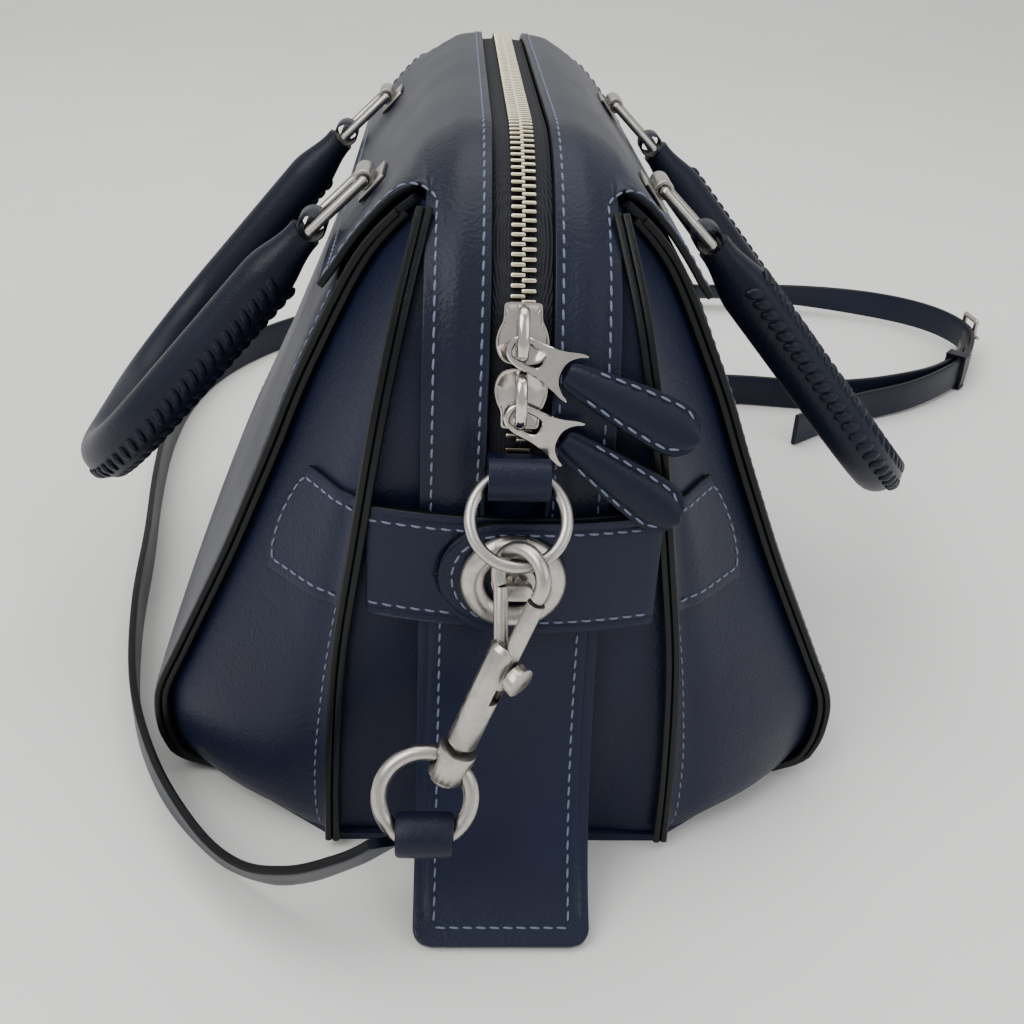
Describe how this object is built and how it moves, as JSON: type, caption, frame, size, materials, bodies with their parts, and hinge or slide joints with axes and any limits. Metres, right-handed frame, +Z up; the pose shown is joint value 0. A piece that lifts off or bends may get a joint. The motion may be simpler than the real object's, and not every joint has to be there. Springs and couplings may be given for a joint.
{
  "type": "leather satchel handbag",
  "caption": "Structured leather satchel with a zipped arched top, rolled handles, buckled side bands with turnlocks, and a clip-on shoulder strap lying round it.",
  "frame": {"origin": "middle of the base on the table", "axes": "+X along the bag towards its right end, +Y to its back, +Z up"},
  "size_m": [0.6148, 0.5261, 0.2317],
  "materials": {
    "leather": "smooth navy calf leather with painted dark edges",
    "leather_top": "soft pebbled navy leather",
    "handle_leather": "rolled navy leather with laced seam",
    "strap_leather": "navy strap leather with painted edges",
    "lining": "plain woven lining",
    "board": "matte stiffener board",
    "zip_fabric": "woven navy zip tape",
    "zip_metal": "light champagne metal",
    "nickel": "antique nickel plating, satin"
  },
  "bodies": {
    "shell": {"base_panel": "leather", "base_board": "board", "lining": "lining", "front_panel": "leather", "back_panel": "leather", "front_yoke": "leather_top", "back_yoke": "leather_top", "front_centre_wall": "leather", "back_centre_wall": "leather", "left_inner_gusset": "leather", "right_inner_gusset": "leather", "left_front_gusset": "leather", "left_back_gusset": "leather", "right_front_gusset": "leather", "right_back_gusset": "leather", "left_zip_strips": "leather", "right_zip_strips": "leather", "zip_tape": "zip_fabric", "zip_teeth": "zip_metal", "zip_stops": "zip_metal", "left_end_tab": "leather", "right_end_tab": "leather", "left_band": "leather", "right_band": "leather", "left_band_flap": "leather", "right_band_flap": "leather", "gusset_patches": "leather", "turnlock_plates": "nickel", "ring_tabs": "leather", "strap_long": "strap_leather", "strap_short": "strap_leather", "strap_keeper": "strap_leather", "buckle_frame": "nickel", "handle_anchors": "nickel"},
    "left_ring": {"left_upper_ring": "nickel"},
    "left_clip": {"left_clip_hook": "nickel"},
    "left_bolt": {"left_clip_bolt": "nickel"},
    "left_swivel": {"left_clip_swivel": "nickel"},
    "left_strap_ring": {"left_lower_ring": "nickel", "left_strap_loop": "strap_leather"},
    "left_knob": {"left_turn_knob": "nickel"},
    "right_ring": {"right_upper_ring": "nickel"},
    "right_clip": {"right_clip_hook": "nickel"},
    "right_bolt": {"right_clip_bolt": "nickel"},
    "right_swivel": {"right_clip_swivel": "nickel"},
    "right_strap_ring": {"right_lower_ring": "nickel", "right_strap_loop": "strap_leather"},
    "right_knob": {"right_turn_knob": "nickel"},
    "upper_slider": {"upper_slider": "nickel"},
    "upper_puller": {"upper_puller": "nickel"},
    "upper_pull": {"upper_pull": "leather"},
    "lower_slider": {"lower_slider": "nickel"},
    "lower_puller": {"lower_puller": "nickel"},
    "lower_pull": {"lower_pull": "leather"},
    "back_links": {"back_handle_links": "nickel"},
    "back_grip": {"back_handle": "handle_leather"},
    "front_links": {"front_handle_links": "nickel"},
    "front_grip": {"front_handle": "handle_leather"},
    "prong": {"buckle_prong": "nickel"}
  },
  "joints": [
    {"name": "left_ring_swing", "type": "hinge", "parent": "shell", "child": "left_ring", "pos_m": [-0.17239, 0, 0.15079], "axis": [0, 1, 0], "range_deg": [0, 10]},
    {"name": "right_ring_swing", "type": "hinge", "parent": "shell", "child": "right_ring", "pos_m": [0.17239, 0, 0.15079], "axis": [0, -1, 0], "range_deg": [0, 10]},
    {"name": "left_clip_swing", "type": "hinge", "parent": "left_ring", "child": "left_clip", "pos_m": [-0.18799, 0, 0.13152], "axis": [0, 1, 0], "range_deg": [-10, 0]},
    {"name": "right_clip_swing", "type": "hinge", "parent": "right_ring", "child": "right_clip", "pos_m": [0.18799, 0, 0.13152], "axis": [0, -1, 0], "range_deg": [-10, 0]},
    {"name": "left_bolt_slide", "type": "slide", "parent": "left_clip", "child": "left_bolt", "axis": [0, 0.3256, -0.9455], "range_m": [0, 0.005], "stiffness_N_per_m": 300, "springref_m": -0.003},
    {"name": "right_bolt_slide", "type": "slide", "parent": "right_clip", "child": "right_bolt", "axis": [0, -0.3256, -0.9455], "range_m": [0, 0.005], "stiffness_N_per_m": 300, "springref_m": -0.003},
    {"name": "left_swivel_turn", "type": "hinge", "parent": "left_clip", "child": "left_swivel", "pos_m": [-0.1922, 0.0166, 0.0659], "axis": [0, -0.3256, 0.9455], "range_deg": [-3, 12]},
    {"name": "right_swivel_turn", "type": "hinge", "parent": "right_clip", "child": "right_swivel", "pos_m": [0.1922, -0.0166, 0.0659], "axis": [0, 0.3256, 0.9455], "range_deg": [-3, 12]},
    {"name": "left_lower_ring_swing", "type": "hinge", "parent": "left_swivel", "child": "left_strap_ring", "pos_m": [-0.19246, 0.01706, 0.0653], "axis": [0.2258, 0.8149, 0.5339], "range_deg": [-2, 8]},
    {"name": "right_lower_ring_swing", "type": "hinge", "parent": "right_swivel", "child": "right_strap_ring", "pos_m": [0.19246, -0.01706, 0.0653], "axis": [-0.2258, -0.8149, 0.5339], "range_deg": [-2, 8]},
    {"name": "left_turnlock", "type": "hinge", "parent": "shell", "child": "left_knob", "pos_m": [-0.1705, 0, 0.116], "axis": [-1, 0, 0], "range_deg": [0, 90]},
    {"name": "right_turnlock", "type": "hinge", "parent": "shell", "child": "right_knob", "pos_m": [0.1705, 0, 0.116], "axis": [1, 0, 0], "range_deg": [0, 90]},
    {"name": "upper_slider_run", "type": "hinge", "parent": "shell", "child": "upper_slider", "pos_m": [-0.085, 0, 0.156], "axis": [0, 1, 0], "range_deg": [0, 54]},
    {"name": "upper_puller_lift", "type": "hinge", "parent": "upper_slider", "child": "upper_puller", "pos_m": [-0.15879, 0.00344, 0.18552], "axis": [-0.3744, 0.4226, -0.8254], "range_deg": [0, 18]},
    {"name": "upper_pull_lift", "type": "hinge", "parent": "upper_puller", "child": "upper_pull", "pos_m": [-0.16211, -0.01378, 0.17821], "axis": [-0.3744, 0.4226, -0.8254], "range_deg": [0, 30]},
    {"name": "lower_slider_run", "type": "hinge", "parent": "shell", "child": "lower_slider", "pos_m": [-0.085, 0, 0.156], "axis": [0, 1, 0], "range_deg": [0, 0.4]},
    {"name": "lower_puller_lift", "type": "hinge", "parent": "lower_slider", "child": "lower_puller", "pos_m": [-0.16367, 0.00344, 0.16734], "axis": [-0.1698, 0.4226, -0.8903], "range_deg": [0, 18]},
    {"name": "lower_pull_lift", "type": "hinge", "parent": "lower_puller", "child": "lower_pull", "pos_m": [-0.16517, -0.01378, 0.15945], "axis": [-0.1698, 0.4226, -0.8903], "range_deg": [0, 30]},
    {"name": "back_links_swing", "type": "hinge", "parent": "shell", "child": "back_links", "pos_m": [0, 0.049, 0.208], "axis": [1, 0, 0], "range_deg": [0, 60]},
    {"name": "back_handle_swing", "type": "hinge", "parent": "back_links", "child": "back_grip", "pos_m": [0, 0.06628, 0.19134], "axis": [1, 0, 0], "range_deg": [-6, 40]},
    {"name": "front_links_swing", "type": "hinge", "parent": "shell", "child": "front_links", "pos_m": [0, -0.049, 0.208], "axis": [-1, 0, 0], "range_deg": [0, 60]},
    {"name": "front_handle_swing", "type": "hinge", "parent": "front_links", "child": "front_grip", "pos_m": [0, -0.06628, 0.19134], "axis": [-1, 0, 0], "range_deg": [-6, 40]},
    {"name": "prong_swing", "type": "hinge", "parent": "shell", "child": "prong", "pos_m": [0.32897, -0.3451, 0.0142], "axis": [0, 0, 1], "range_deg": [0, 60]}
  ],
  "couplings": [
    {"joint": "left_clip_swing", "follows": "left_ring_swing", "ratio": -1},
    {"joint": "right_clip_swing", "follows": "right_ring_swing", "ratio": -1}
  ]
}
